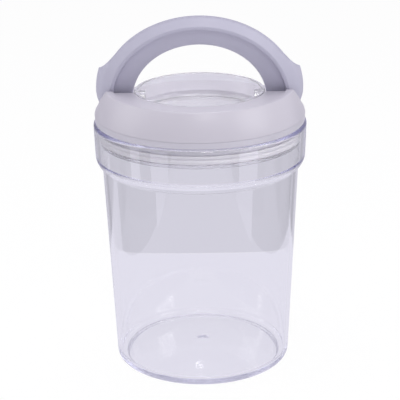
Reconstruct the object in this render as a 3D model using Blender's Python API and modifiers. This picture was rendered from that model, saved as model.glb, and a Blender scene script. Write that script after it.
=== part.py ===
"""Clear food canister with a flip-handle lid.

Metres, +Z up. The jar stands on the XY plane with its axis on Z, and its front faces -Y.
The handle is a half ring on two pins. Raised, it leans forward on its stop and the lid is free.
Folded back, it completes the lid's crown, and its ears turn as cams on the deck of the cover:
they lift the clear inner lid, whose brim squeezes the gasket outwards against the jar's collar.
"""

import math

import bmesh
import bpy
from mathutils import Matrix, Vector

# Jar
RIM_Z = 0.1425
COLLAR_R = 0.0600
COLLAR_FOOT = (0.0592, 0.1193)
BODY_TOP = (0.0555, 0.1168)
BODY_FOOT_R = 0.0500
JAR_WALL = 0.0022
JAR_FLOOR = 0.0032
SHOULDER_FILLET = 0.0074
NECK_FILLET = 0.0008
SHOULDER_RISE = 0.0011
COLLAR_LEDGE_Z = 0.1230
FOOT_FILLET = 0.0036
FOOT_RING_INNER_R = 0.0448
DOME_R = 0.0440
FOOT_RECESS = 0.0008
FLOOR_RISE = 0.0045
GATE_MARK_R = 0.0034
GATE_MARK_DEPTH = 0.0008

# Crown of the lid, whose back half is the folded handle
CROWN_TOP_Z = 0.1616
CROWN_FLAT_Z = 0.1608
CROWN_LIP_OUTER_R = 0.0527
CROWN_LIP_INNER_R = 0.0497
CROWN_LIP_SLOPE = 0.0010
CROWN_FOOT_R = 0.0592
CROWN_FOOT_Z = 0.1465
CROWN_BULGE = 0.00075
COVER_WALL = 0.0020
COVER_BORE_R = 0.0372

# Base ring of the lid
BAND_R = 0.0594
BAND_TOP_Z = 0.1462
SEAT_Z = 0.1428
PLATE_TOP_Z = 0.1448
SKIRT_R = 0.0567
SKIRT_WALL = 0.0024
SKIRT_FOOT_Z = 0.1390
SPIGOT_WALL = 0.0016
SPIGOT_HEIGHT = 0.0008
SPIGOT_GAP = 0.0006

# Inner lid and gasket
PLUG_R = 0.0366
PLUG_WALL = 0.0022
DISH_RIM_Z = 0.1598
DISH_FLOOR_Z = 0.1465
BRIM_R = 0.0562
BRIM_TOP_Z = 0.1337
BRIM_FOOT_Z = 0.1314
RIDGE_WALL = 0.0020
RIDGE_HEIGHT = 0.0034
GASKET_BORE_R = 0.0500
GASKET_R = 0.0569
GASKET_TOP_Z = 0.1387
GASKET_FOOT_Z = 0.1340
GASKET_GAP = 0.0005
GASKET_GROOVE = 0.0014
GASKET_GROOVE_HALF = 0.0010

# Handle and hinge
PIVOT_Z = 0.1551
LIFT = 0.0015
SWING = math.radians(111)
CAM_R = 0.0055
CAM_START = math.radians(96)
DECK_GAP = 0.00025
STOP_GAP = 0.0005
HANDLE_BORE_R = 0.0374
BAND_DEPTH = 0.0046
EAR_LENGTH = 0.0162
EAR_FILLET = 0.0090
HANDLE_WALL = 0.0020
HANDLE_RIBS = 5
RIB_THICKNESS = 0.0016
CHANNEL_HALF_ANGLE = math.radians(74)
PIN_R = 0.0015
PIN_CLEARANCE = 0.0001
PIN_END_GAP = 0.0004
PIN_INNER_X = 0.0306
PIN_OUTER_X = 0.0460
BOSS_R = 0.0042
BOSS_INNER_X = 0.0304

# Edges of the mouldings
LIP_EDGE = 0.0010
SOFT_EDGE = 0.0006
FINE_EDGE = 0.0004
CORNER = 0.0015

DECK_Z = PIVOT_Z - CAM_R - DECK_GAP
FOLDED_PIVOT_Z = PIVOT_Z + LIFT
LEAN = SWING - math.pi / 2

TURN_STEPS = 56
ARC_STEPS = 2
ROD_SIDES = 24
FAR = 0.07
BEYOND = 0.002

# Linear colours
CLEAR = (0.82, 0.83, 0.90)
WARM_GREY = (0.60, 0.57, 0.63)
LAVENDER = (0.51, 0.49, 0.62)
SILICONE = (0.75, 0.74, 0.75)
STEEL = (0.60, 0.60, 0.61)


def clear_scene():
    for old in list(bpy.data.objects):
        bpy.data.objects.remove(old, do_unlink=True)


def new_collection(name):
    made = bpy.data.collections.new(name)
    bpy.context.scene.collection.children.link(made)
    return made


def new_material(name, colour, roughness, metallic=0.0, transmission=0.0):
    made = bpy.data.materials.new(name)
    made.use_nodes = True
    shader = made.node_tree.nodes["Principled BSDF"]
    shader.inputs["Base Color"].default_value = (*colour, 1.0)
    shader.inputs["Roughness"].default_value = roughness
    shader.inputs["Metallic"].default_value = metallic
    shader.inputs["Transmission Weight"].default_value = transmission
    return made


def rounded(corners, closed=True, steps=ARC_STEPS):
    """A polyline through (a, b, radius) corners, each rounded by a tangent arc of its radius."""
    points = []
    count = len(corners)
    for i, (a, b, radius) in enumerate(corners):
        here = Vector((a, b))
        if radius == 0 or (not closed and i in (0, count - 1)):
            points.append(here)
            continue
        back = (Vector(corners[i - 1][:2]) - here).normalized()
        ahead = (Vector(corners[(i + 1) % count][:2]) - here).normalized()
        half = back.angle(ahead) / 2
        middle = here + (back + ahead).normalized() * radius / math.sin(half)
        start = here + back * radius / math.tan(half) - middle
        end = here + ahead * radius / math.tan(half) - middle
        turn = start.angle_signed(end)
        for k in range(steps + 1):
            points.append(middle + Matrix.Rotation(-turn * k / steps, 2) @ start)
    return points


def bulged(start, end, sagitta, steps):
    """The corners between two points on an arc that bulges outwards by sagitta, ends left out."""
    a = Vector(start)
    b = Vector(end)
    outwards = Vector((-(b - a).y, (b - a).x)).normalized()
    corners = []
    for k in range(1, steps):
        t = k / steps
        spot = a.lerp(b, t) + outwards * 4 * sagitta * t * (1 - t)
        corners.append((spot.x, spot.y, 0))
    return corners


def add_object(name, mesh, collection, material=None, smooth_angle=40):
    made = bpy.data.objects.new(name, mesh)
    collection.objects.link(made)
    if material is None:
        made.hide_render = True
        made.display_type = "WIRE"
        return made
    mesh.materials.append(material)
    mesh.shade_smooth()
    mesh.set_sharp_from_angle(angle=math.radians(smooth_angle))
    return made


def turned(name, outline, collection, material=None, closed=True):
    """A profile in the XZ plane, turned about Z. It runs down its outer side."""
    count = len(outline)
    edges = [(i, i + 1) for i in range(count - 1)]
    if closed:
        edges.append((count - 1, 0))
    mesh = bpy.data.meshes.new(name)
    mesh.from_pydata([(p.x, 0, p.y) for p in outline], edges, [])
    made = add_object(name, mesh, collection, material)
    screw = made.modifiers.new("Turn", "SCREW")
    screw.steps = TURN_STEPS
    screw.render_steps = TURN_STEPS
    screw.use_merge_vertices = True
    screw.merge_threshold = 0.00001
    screw.use_smooth_shade = True
    return made


def filled_outline(points):
    """A bmesh that holds one face through 3D points."""
    shape = bmesh.new()
    shape.faces.new([shape.verts.new(p) for p in points])
    return shape


def mesh_from(shape, name):
    bmesh.ops.recalc_face_normals(shape, faces=shape.faces)
    mesh = bpy.data.meshes.new(name)
    shape.to_mesh(mesh)
    shape.free()
    return mesh


def turned_sector(name, outline, start, sweep, collection):
    """A cutter: a profile spun about Z from one angle through another, both measured from +Y."""
    shape = filled_outline([(p.x, 0, p.y) for p in outline])
    bmesh.ops.rotate(shape, verts=shape.verts, matrix=Matrix.Rotation(math.pi / 2 + start, 3, "Z"))
    steps = max(2, round(TURN_STEPS * abs(sweep) / (2 * math.pi)))
    everything = shape.verts[:] + shape.edges[:] + shape.faces[:]
    bmesh.ops.spin(shape, geom=everything, axis=(0, 0, 1), angle=sweep, steps=steps)
    return add_object(name, mesh_from(shape, name), collection)


def prism(name, outline, collection, low_x=-FAR, high_x=FAR):
    """A cutter: an outline in the YZ plane, extruded along X."""
    shape = filled_outline([(low_x, p[0], p[1]) for p in outline])
    grown = bmesh.ops.extrude_face_region(shape, geom=shape.faces[:])
    moved = [v for v in grown["geom"] if isinstance(v, bmesh.types.BMVert)]
    bmesh.ops.translate(shape, verts=moved, vec=(high_x - low_x, 0, 0))
    return add_object(name, mesh_from(shape, name), collection)


def rod(name, radius, low_x, high_x, height, collection, material=None):
    """A round rod along X."""
    shape = bmesh.new()
    bmesh.ops.create_cone(
        shape,
        cap_ends=True,
        segments=ROD_SIDES,
        radius1=radius,
        radius2=radius,
        depth=high_x - low_x,
    )
    bmesh.ops.rotate(shape, verts=shape.verts, matrix=Matrix.Rotation(math.pi / 2, 3, "Y"))
    bmesh.ops.translate(shape, verts=shape.verts, vec=((low_x + high_x) / 2, 0, height))
    return add_object(name, mesh_from(shape, name), collection, material)


def boolean(target, cutter, operation="DIFFERENCE"):
    step = target.modifiers.new(cutter.name, "BOOLEAN")
    step.operation = operation
    step.solver = "EXACT"
    step.object = cutter


def around(centre, radius, start, end, steps):
    """Points on a circle in the YZ plane, from one angle to another."""
    spots = []
    for k in range(steps + 1):
        angle = start + (end - start) * k / steps
        spots.append((centre[0] + radius * math.cos(angle), centre[1] + radius * math.sin(angle)))
    return spots


def both_sides():
    return (("left", -1), ("right", 1))


def span(sign, inner, outer):
    """The low and high X of a piece that lies between two distances on one side."""
    return sorted((sign * inner, sign * outer))


def crown_section(bore_r):
    """The crown's section: outer lip, bulged cone, foot, bore, recessed flat."""
    lip = (CROWN_LIP_OUTER_R, CROWN_TOP_Z)
    foot = (CROWN_FOOT_R, CROWN_FOOT_Z)
    corners = [
        (*lip, LIP_EDGE),
        *bulged(lip, foot, CROWN_BULGE, 5),
        (*foot, 0),
        (bore_r, CROWN_FOOT_Z, 0),
        (bore_r, CROWN_FLAT_Z, LIP_EDGE),
        (CROWN_LIP_INNER_R - CROWN_LIP_SLOPE, CROWN_FLAT_Z, FINE_EDGE),
        (CROWN_LIP_INNER_R, CROWN_TOP_Z, SOFT_EDGE),
    ]
    return rounded(corners)


def crown_wall_r(height):
    """Rough outer radius of the crown at a height, for the hollows inside it."""
    share = (CROWN_TOP_Z - height) / (CROWN_TOP_Z - CROWN_FOOT_Z)
    return CROWN_LIP_OUTER_R + (CROWN_FOOT_R - CROWN_LIP_OUTER_R) * share


def hollow_section(top, bottom, wall, bore_r, drop=0.0):
    """A four-cornered hollow inside the crown, one wall away from its cone and its bore."""
    return [
        Vector((crown_wall_r(top) - wall, top - drop)),
        Vector((crown_wall_r(bottom) - wall, bottom - drop)),
        Vector((bore_r + wall, bottom - drop)),
        Vector((bore_r + wall, top - drop)),
    ]


def dome(radius):
    """How far the jar's floor is pushed up: FLOOR_RISE * (1 - (r / DOME_R)^2)."""
    return FLOOR_RISE * (1 - (radius / DOME_R) ** 2)


def make_jar(parts, material):
    collar_inner_r = COLLAR_R - JAR_WALL
    gate_z = FOOT_RECESS + FLOOR_RISE + GATE_MARK_DEPTH
    outline = rounded(
        [
            *[(r, JAR_FLOOR + dome(r), 0) for r in (0, DOME_R / 3, 2 * DOME_R / 3)],
            (BODY_FOOT_R - JAR_WALL, JAR_FLOOR, FOOT_FILLET - FOOT_RECESS),
            (BODY_TOP[0] - JAR_WALL, BODY_TOP[1] + SHOULDER_RISE, NECK_FILLET + JAR_WALL),
            (COLLAR_FOOT[0] - JAR_WALL, COLLAR_LEDGE_Z, 2 * SOFT_EDGE),
            (collar_inner_r, RIM_Z, SOFT_EDGE),
            (COLLAR_R, RIM_Z, SOFT_EDGE),
            (*COLLAR_FOOT, SHOULDER_FILLET),
            (*BODY_TOP, NECK_FILLET),
            (BODY_FOOT_R, 0, FOOT_FILLET),
            (FOOT_RING_INNER_R, 0, 0),
            *[(r, FOOT_RECESS + dome(r), 0) for r in (DOME_R, 2 * DOME_R / 3, GATE_MARK_R)],
            (GATE_MARK_R, gate_z, 0),
            (0, gate_z, 0),
        ],
        closed=False,
        steps=3,
    )
    return turned("jar", outline, parts, material, closed=False)


def make_cover(parts, cutters, material):
    """The grey ring: high in front, with two stop ends for the handle, and a low deck behind."""
    cover = turned("lid_cover", crown_section(COVER_BORE_R), parts, material)
    end_r = CAM_R + STOP_GAP
    tangent = math.pi + LEAN
    deck_turn = 2 * math.pi - math.acos(-math.sqrt(end_r**2 - (PIVOT_Z - DECK_Z) ** 2) / end_r)
    seat = around((0, PIVOT_Z), end_r, tangent, deck_turn, 5)
    top_z = CROWN_TOP_Z + BEYOND
    top_y = seat[0][0] - (top_z - seat[0][1]) * math.tan(LEAN)
    outline = [(top_y, top_z), *seat, (FAR, DECK_Z), (FAR, top_z)]
    boolean(cover, prism("back_cut", outline, cutters))
    deck_under = DECK_Z - COVER_WALL
    deck_hollow = hollow_section(deck_under, CROWN_FOOT_Z - BEYOND, COVER_WALL, COVER_BORE_R)
    boolean(cover, turned("deck_hollow", deck_hollow, cutters))
    thicker = COVER_WALL + GASKET_GAP
    roof = CROWN_FLAT_Z - COVER_WALL
    front_hollow = hollow_section(roof, deck_under - FINE_EDGE, thicker, COVER_BORE_R)
    start = math.pi - CHANNEL_HALF_ANGLE
    sector = turned_sector("front_hollow", front_hollow, start, 2 * CHANNEL_HALF_ANGLE, cutters)
    boolean(cover, sector)
    return cover


def make_base_ring(parts, material):
    """The band under the cover, with a skirt that guides the lid in the collar."""
    skirt_inner_r = SKIRT_R - SKIRT_WALL
    spigot_r = CROWN_FOOT_R - COVER_WALL - SPIGOT_GAP
    spigot_top = BAND_TOP_Z + SPIGOT_HEIGHT
    collar_r = COVER_BORE_R + COVER_WALL
    outline = rounded(
        [
            (BAND_R, BAND_TOP_Z, FINE_EDGE),
            (BAND_R, SEAT_Z, FINE_EDGE),
            (SKIRT_R, SEAT_Z, 0),
            (SKIRT_R, SKIRT_FOOT_Z, SOFT_EDGE),
            (skirt_inner_r, SKIRT_FOOT_Z, 0),
            (skirt_inner_r, SEAT_Z, 0),
            (COVER_BORE_R, SEAT_Z, 0),
            (COVER_BORE_R, BAND_TOP_Z, 0),
            (collar_r, BAND_TOP_Z, 0),
            (collar_r, PLATE_TOP_Z, 0),
            (spigot_r - SPIGOT_WALL, PLATE_TOP_Z, 0),
            (spigot_r - SPIGOT_WALL, spigot_top, 0),
            (spigot_r, spigot_top, 0),
            (spigot_r, BAND_TOP_Z, 0),
        ]
    )
    return turned("lid_base_ring", outline, parts, material)


def make_inner_lid(parts, cutters, material):
    """The clear dish, its brim under the gasket, and a boss inside its wall for each pin."""
    inner_r = PLUG_R - PLUG_WALL
    ridge_r = GASKET_BORE_R - GASKET_GAP
    ridge_top = BRIM_TOP_Z + RIDGE_HEIGHT
    dish_under = DISH_FLOOR_Z - PLUG_WALL
    outline = rounded(
        [
            (0, DISH_FLOOR_Z, 0),
            (inner_r, DISH_FLOOR_Z, CORNER),
            (inner_r, DISH_RIM_Z, SOFT_EDGE),
            (PLUG_R, DISH_RIM_Z, SOFT_EDGE),
            (PLUG_R, BRIM_TOP_Z, CORNER),
            (ridge_r - RIDGE_WALL, BRIM_TOP_Z, 0),
            (ridge_r - RIDGE_WALL, ridge_top, 0),
            (ridge_r, ridge_top, 0),
            (ridge_r, BRIM_TOP_Z, 0),
            (BRIM_R, BRIM_TOP_Z, 0),
            (BRIM_R, BRIM_FOOT_Z, SOFT_EDGE),
            (inner_r, BRIM_FOOT_Z, SOFT_EDGE),
            (inner_r, dish_under, CORNER),
            (0, dish_under, 0),
        ],
        closed=False,
    )
    inner_lid = turned("inner_lid", outline, parts, material, closed=False)
    boss_foot = DISH_FLOOR_Z - PLUG_WALL / 2
    boss = [
        *around((0, PIVOT_Z), BOSS_R, 0, math.pi, 10),
        (-BOSS_R, boss_foot),
        (BOSS_R, boss_foot),
    ]
    for side, sign in both_sides():
        ends = span(sign, BOSS_INNER_X, PLUG_R - PLUG_WALL / 2)
        boolean(inner_lid, prism(f"boss_{side}", boss, cutters, *ends), "UNION")
    for side, sign in both_sides():
        ends = span(sign, BOSS_INNER_X - BEYOND, PLUG_R + BEYOND)
        bore = rod(f"boss_bore_{side}", PIN_R + PIN_CLEARANCE, *ends, PIVOT_Z, cutters)
        boolean(inner_lid, bore)
    return inner_lid


def make_gasket(parts, material):
    """A soft ring with a groove round it, so that a squeeze from above pushes its lips outwards."""
    mid_z = (GASKET_TOP_Z + GASKET_FOOT_Z) / 2
    outline = rounded(
        [
            (GASKET_R, GASKET_TOP_Z, FINE_EDGE),
            (GASKET_R, mid_z + GASKET_GROOVE_HALF, FINE_EDGE),
            (GASKET_R - GASKET_GROOVE, mid_z, FINE_EDGE),
            (GASKET_R, mid_z - GASKET_GROOVE_HALF, FINE_EDGE),
            (GASKET_R, GASKET_FOOT_Z, FINE_EDGE),
            (GASKET_BORE_R, GASKET_FOOT_Z, 0),
            (GASKET_BORE_R, GASKET_TOP_Z, 0),
        ],
        steps=1,
    )
    return turned("gasket", outline, parts, material)


def cam_outline():
    """The end of the handle round its pivot, as (y, z) when folded.

    The support height above the deck grows evenly with the angle, so the lift follows the swing:
    each point is the support times its direction plus the support's slope times the tangent.
    """
    rest = 1.5 * math.pi - SWING
    slope = LIFT / SWING
    spots = around((0, 0), CAM_R, CAM_START, rest, 7)
    steps = 9
    for k in range(steps + 1):
        angle = rest + SWING * k / steps
        support = CAM_R + slope * (angle - rest)
        spots.append(
            (
                support * math.cos(angle) - slope * math.sin(angle),
                support * math.sin(angle) + slope * math.cos(angle),
            )
        )
    return spots


def handle_outline():
    """The handle from the side, folded: cam end, ear, fillet up to the shallow band."""
    top = CROWN_TOP_Z - FOLDED_PIVOT_Z
    band_foot = top - BAND_DEPTH
    ear_foot = -(CAM_R + LIFT)
    cam = cam_outline()
    centre = (EAR_LENGTH + EAR_FILLET, band_foot - EAR_FILLET)
    corner = math.pi - math.asin((ear_foot - centre[1]) / EAR_FILLET)
    fillet = around(centre, EAR_FILLET, corner, math.pi / 2, 5)
    over = top + BEYOND
    return [(cam[0][0], over), *cam, *fillet, (FAR, band_foot), (FAR, over)]


def make_handle(parts, cutters, material):
    """The back half of the crown on its pivot: a shallow ribbed channel between two cam ears."""
    folded = [Vector((p.x, p.y - FOLDED_PIVOT_Z)) for p in crown_section(HANDLE_BORE_R)]
    handle = turned("handle", folded, parts, material)
    handle.location = (0, 0, PIVOT_Z)
    handle.rotation_euler = (SWING, 0, 0)
    helpers = [prism("handle_side", handle_outline(), cutters)]
    boolean(handle, helpers[0], "INTERSECT")
    roof = CROWN_FLAT_Z - HANDLE_WALL
    channel = hollow_section(roof, roof - 2 * BAND_DEPTH, HANDLE_WALL, HANDLE_BORE_R, FOLDED_PIVOT_Z)
    pockets = HANDLE_RIBS + 1
    rib_angle = RIB_THICKNESS / CROWN_LIP_INNER_R
    pocket_angle = (2 * CHANNEL_HALF_ANGLE - HANDLE_RIBS * rib_angle) / pockets
    for k in range(pockets):
        start = -CHANNEL_HALF_ANGLE + k * (pocket_angle + rib_angle)
        pocket = turned_sector(f"channel_{k}", channel, start, pocket_angle, cutters)
        helpers.append(pocket)
        boolean(handle, pocket)
    for side, sign in both_sides():
        ends = span(sign, HANDLE_BORE_R - BEYOND, PIN_OUTER_X + PIN_END_GAP)
        bore = rod(f"handle_bore_{side}", PIN_R + PIN_CLEARANCE, *ends, 0, cutters)
        helpers.append(bore)
        boolean(handle, bore)
    for helper in helpers:
        helper.location = handle.location
        helper.rotation_euler = handle.rotation_euler
    return handle


def make_pins(parts):
    for side, sign in both_sides():
        material = new_material(f"pin_steel_{side}", STEEL, 0.3, metallic=1.0)
        ends = span(sign, PIN_INNER_X, PIN_OUTER_X)
        rod(f"hinge_pin_{side}", PIN_R, *ends, PIVOT_Z, parts, material)


def main():
    clear_scene()
    parts = new_collection("food_canister")
    cutters = new_collection("cutters")
    make_jar(parts, new_material("jar_clear_plastic", CLEAR, 0.05, transmission=1.0))
    make_cover(parts, cutters, new_material("cover_grey_plastic", WARM_GREY, 0.45))
    make_base_ring(parts, new_material("base_ring_grey_plastic", WARM_GREY, 0.45))
    make_inner_lid(parts, cutters, new_material("inner_lid_clear_plastic", CLEAR, 0.05, transmission=1.0))
    make_gasket(parts, new_material("gasket_silicone", SILICONE, 0.6))
    make_handle(parts, cutters, new_material("handle_lavender_plastic", LAVENDER, 0.45))
    make_pins(parts)


main()
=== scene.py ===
# %% [markdown]
# # A clear food canister with a fold-back handle
#
# The canister is a clear moulded jar under a grey lid. The lid's crown is a ring whose back half is
# the handle: it stands up here, and folds back until the ring is whole. Its two ears are cams that
# lift the clear inner lid and squeeze a gasket against the jar's collar.
#
# The CAD frame gives every place and every motion. This script gives each piece its finer surface
# and its finish, so it begins with the frame and never moves it.

import math

import bmesh
import bpy
import numpy as np
from mathutils import Matrix, Vector


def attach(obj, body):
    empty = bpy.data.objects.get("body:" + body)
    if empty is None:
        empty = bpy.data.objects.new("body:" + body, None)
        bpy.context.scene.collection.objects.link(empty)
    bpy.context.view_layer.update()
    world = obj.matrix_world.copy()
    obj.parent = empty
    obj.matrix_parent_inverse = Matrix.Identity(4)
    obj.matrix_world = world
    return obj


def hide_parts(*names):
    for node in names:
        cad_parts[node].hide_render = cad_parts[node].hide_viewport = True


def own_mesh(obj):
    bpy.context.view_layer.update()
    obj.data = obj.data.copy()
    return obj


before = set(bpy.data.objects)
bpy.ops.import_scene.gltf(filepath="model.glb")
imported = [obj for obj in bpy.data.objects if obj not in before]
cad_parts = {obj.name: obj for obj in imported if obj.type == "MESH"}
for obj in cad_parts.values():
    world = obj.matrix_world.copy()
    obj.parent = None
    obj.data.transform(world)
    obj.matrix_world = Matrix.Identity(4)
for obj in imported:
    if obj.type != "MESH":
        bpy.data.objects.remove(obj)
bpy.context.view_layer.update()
print("CAD nodes:", sorted(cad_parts))

# %% [markdown]
# ## Camera
#
# The camera comes first, because every later choice is judged through it. Its place was worked out
# from the rims of the jar and the lid: each is a circle, so the height and width of its ellipse in
# the picture give the viewing angle and the distance. A long lens nearly 0.9 m away fits best.

# %% Camera
VIEW_TURN = math.radians(0.343)
VIEW_HEIGHT = math.radians(19.729)
VIEW_DISTANCE = 0.8908
VIEW_ROLL = math.radians(-0.773)
FOCAL_PIXELS = 1551.9
PICTURE_PIXELS = 400
SENSOR_MM = 36.0
AIM_HEIGHT = 0.093766
AIM_SHIFT = 0.00061
LIGHT_TURNS = 512

back = Vector((
    math.sin(VIEW_TURN) * math.cos(VIEW_HEIGHT),
    -math.cos(VIEW_TURN) * math.cos(VIEW_HEIGHT),
    math.sin(VIEW_HEIGHT),
))
level = back.cross(Vector((0, 0, -1))).normalized()
upright = back.cross(level)
right = level * math.cos(VIEW_ROLL) + upright * math.sin(VIEW_ROLL)
above = upright * math.cos(VIEW_ROLL) - level * math.sin(VIEW_ROLL)
target = Vector((0, 0, AIM_HEIGHT)) - level * AIM_SHIFT

lens = bpy.data.cameras.new("camera")
lens.sensor_width = SENSOR_MM
lens.lens = FOCAL_PIXELS * SENSOR_MM / PICTURE_PIXELS
camera = bpy.data.objects.new("camera", lens)
bpy.context.scene.collection.objects.link(camera)
turn = Matrix((right, above, back)).transposed()
camera.matrix_world = Matrix.Translation(target + back * VIEW_DISTANCE) @ turn.to_4x4()
bpy.context.scene.camera = camera
bpy.context.scene.view_settings.view_transform = "Standard"
# Light in a clear wall turns hundreds of times before it leaves at an edge, so its paths are long.
bpy.context.scene.cycles.max_bounces = LIGHT_TURNS
bpy.context.scene.cycles.transmission_bounces = LIGHT_TURNS
bpy.context.scene.cycles.glossy_bounces = LIGHT_TURNS
print(f"lens {lens.lens:.1f} mm, camera {camera.location.z * 1000:.0f} mm above the floor")

# %% [markdown]
# ## Helpers for shapes
#
# Every piece is a surface over a grid of two parameters, so a few helpers do for all of them. The
# first rounds the corners of a profile, and the second carries a profile round the Z axis. Blender's
# own Bevel and Screw could do both, but with arrays the rounding follows the moulding's real radii,
# and the handle and cover need arrays anyway.

# %% Profiles and grids
COLUMNS = 240
GUARD = 0.0003
GUARDED_SIDE = 0.0015


def rounded(corners, steps=6, guard=GUARD):
    """An outline through (a, b, radius) corners: each corner becomes an arc tangent to both sides.

    The arc's centre lies on the corner's bisector, at radius / sin(half the corner's angle). Guard
    points just past each arc keep the shading of the straight sides straight.
    """
    spots = np.array([corner[:2] for corner in corners], float)
    runs = []
    for i, corner in enumerate(corners):
        radius = corner[2]
        if radius == 0:
            runs.append(spots[i][None])
            continue
        before = spots[i - 1] - spots[i]
        after = spots[(i + 1) % len(spots)] - spots[i]
        before /= np.linalg.norm(before)
        after /= np.linalg.norm(after)
        half = 0.5 * math.acos(np.clip(before @ after, -1, 1))
        bisector = (before + after) / np.linalg.norm(before + after)
        centre = spots[i] + bisector * radius / math.sin(half)
        start = spots[i] + before * radius / math.tan(half) - centre
        end = spots[i] + after * radius / math.tan(half) - centre
        first = math.atan2(start[1], start[0])
        sweep = math.atan2(start[0] * end[1] - start[1] * end[0], start @ end)
        angle = first + sweep * np.linspace(0, 1, steps + 1)
        runs.append(centre + radius * np.stack([np.cos(angle), np.sin(angle)], 1))
    outline = []
    for run, following in zip(runs, runs[1:] + runs[:1]):
        outline.append(run)
        side = following[:1] - run[-1:]
        length = np.linalg.norm(side)
        if guard and length > GUARDED_SIDE:
            if len(run) > 1:
                outline.append(run[-1:] + side * guard / length)
            if len(following) > 1:
                outline.append(following[:1] - side * guard / length)
    return np.concatenate(outline)


def turned(profile, columns=COLUMNS):
    """A grid of points: each (r, z) of the profile goes round Z as x = r cos a, y = r sin a."""
    angle = np.arange(columns) * 2 * math.pi / columns
    r, z = profile[:, :1], profile[:, 1:]
    return np.stack([r * np.cos(angle), r * np.sin(angle), z + 0 * angle], -1)


# %% [markdown]
# A grid becomes a mesh when neighbouring points are joined into faces. Several grids become a closed
# mesh when the points along their shared edges are merged. Filling gaps by hand would do too, but
# here a count of open edges shows at once whether a mesh still has one.

# %% Closed meshes
MERGE_DISTANCE = 2e-6
NO_LENGTH = 1e-7


def grid_faces(rows, columns, wrap_rows, wrap_columns):
    """Four-cornered faces between neighbours i, i + 1 and j, j + 1 of a grid, wrapped if asked."""
    i = np.arange(rows - (not wrap_rows))[:, None]
    j = np.arange(columns - (not wrap_columns))[None]
    next_i = (i + 1) % rows
    next_j = (j + 1) % columns
    ring = [i * columns + j, i * columns + next_j, next_i * columns + next_j, next_i * columns + j]
    return np.stack(ring, -1).reshape(-1, 4)


def closed_mesh(name, grids):
    """Joins (points, wrap_rows, wrap_columns) grids, merges their seams and turns faces outwards."""
    points = []
    faces = []
    count = 0
    for grid, wrap_rows, wrap_columns in grids:
        rows, columns = grid.shape[:2]
        faces.append(grid_faces(rows, columns, wrap_rows, wrap_columns) + count)
        points.append(grid.reshape(-1, 3))
        count += rows * columns
    mesh = bpy.data.meshes.new(name)
    mesh.from_pydata(np.concatenate(points).tolist(), [], np.concatenate(faces).tolist())
    shape = bmesh.new()
    shape.from_mesh(mesh)
    bmesh.ops.remove_doubles(shape, verts=shape.verts, dist=MERGE_DISTANCE)
    bmesh.ops.dissolve_degenerate(shape, edges=shape.edges, dist=NO_LENGTH)
    bmesh.ops.recalc_face_normals(shape, faces=shape.faces)
    open_edges = sum(not edge.is_manifold for edge in shape.edges)
    volume = shape.calc_volume(signed=True)
    shape.to_mesh(mesh)
    shape.free()
    print(f"{name}: {len(mesh.polygons)} faces, {open_edges} open edges, {volume * 1e6:.1f} cm3")
    return mesh


# %% [markdown]
# A mesh becomes a piece when it rides on a body of the frame and stands for a CAD node. Some need a
# boss added or a bore cut first. Boolean modifiers do that, and the result is taken as a mesh, so
# that no helper objects stay in the scene.

# %% Pieces
def add_piece(name, mesh, body, node, material, smooth_angle=38):
    """Links a mesh as a piece that rides on a body and stands for a CAD node."""
    piece = bpy.data.objects.new(name, mesh)
    bpy.context.scene.collection.objects.link(piece)
    mesh.materials.append(material)
    mesh.shade_smooth()
    mesh.set_sharp_from_angle(angle=math.radians(smooth_angle))
    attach(piece, body)
    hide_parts(node)
    return piece


def combined(name, mesh, helpers, operation):
    """The mesh after a Boolean with each helper mesh in turn, such as a boss added or a bore cut."""
    target_object = bpy.data.objects.new(name, mesh)
    bpy.context.scene.collection.objects.link(target_object)
    others = []
    for k, helper in enumerate(helpers):
        other = bpy.data.objects.new(f"{name}_{k}", helper)
        bpy.context.scene.collection.objects.link(other)
        step = target_object.modifiers.new(f"step_{k}", "BOOLEAN")
        step.operation = operation
        step.solver = "EXACT"
        step.object = other
        others.append(other)
    graph = bpy.context.evaluated_depsgraph_get()
    result = bpy.data.meshes.new_from_object(target_object.evaluated_get(graph))
    result.name = name
    for made in [target_object, *others]:
        bpy.data.objects.remove(made, do_unlink=True)
    return result


# %% [markdown]
# ## Helpers for finishes
#
# A colour is written as it looks on a screen, as a hex value, and Blender works in linear light, so
# one function converts it. Another adds a node with its settings and links.

# %% Colours and nodes
def linear(hex_colour):
    """sRGB hex to linear RGBA: c / 12.92 in the darks, otherwise ((c + 0.055) / 1.055) ^ 2.4."""
    c = np.array([int(hex_colour[i:i + 2], 16) for i in (1, 3, 5)]) / 255
    lit = np.where(c <= 0.04045, c / 12.92, ((c + 0.055) / 1.055) ** 2.4)
    return (*lit.tolist(), 1.0)


def add_node(tree, kind, inputs=None, **settings):
    """Adds a node: settings are its own properties, inputs are values or sockets to link from."""
    made = tree.nodes.new(kind)
    for key, value in settings.items():
        setattr(made, key, value)
    for key, value in (inputs or {}).items():
        if isinstance(value, bpy.types.NodeSocket):
            tree.links.new(value, made.inputs[key])
        else:
            made.inputs[key].default_value = value
    return made


def new_finish(name, settings):
    """A material with one main shader, whose even values are set on its own sockets."""
    made = bpy.data.materials.new(name)
    made.use_nodes = True
    shader = made.node_tree.nodes["Principled BSDF"]
    for key, value in settings.items():
        shader.inputs[key].default_value = value
    return made, made.node_tree, shader


def per_mm(size_mm):
    """The scale of a noise whose blotches are about this many millimetres across."""
    return 1000.0 / size_mm


print("mid grey in linear light:", round(linear("#808080")[0], 3))

# %% [markdown]
# ## Stage and light
#
# The object was shot in a small white tent: the floor and background are pure white, and the clear
# jar shows the tent's pale grey walls behind it, which begin a hand's width away. The white comes
# from the floor's and the world's own colour as rays that the eye follows see it, so it costs no
# extra light on the object. A brighter lamp on the floor would whiten it too, but wash out the lid.

# %% World
AMBIENT_LEVEL = 0.72


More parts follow.
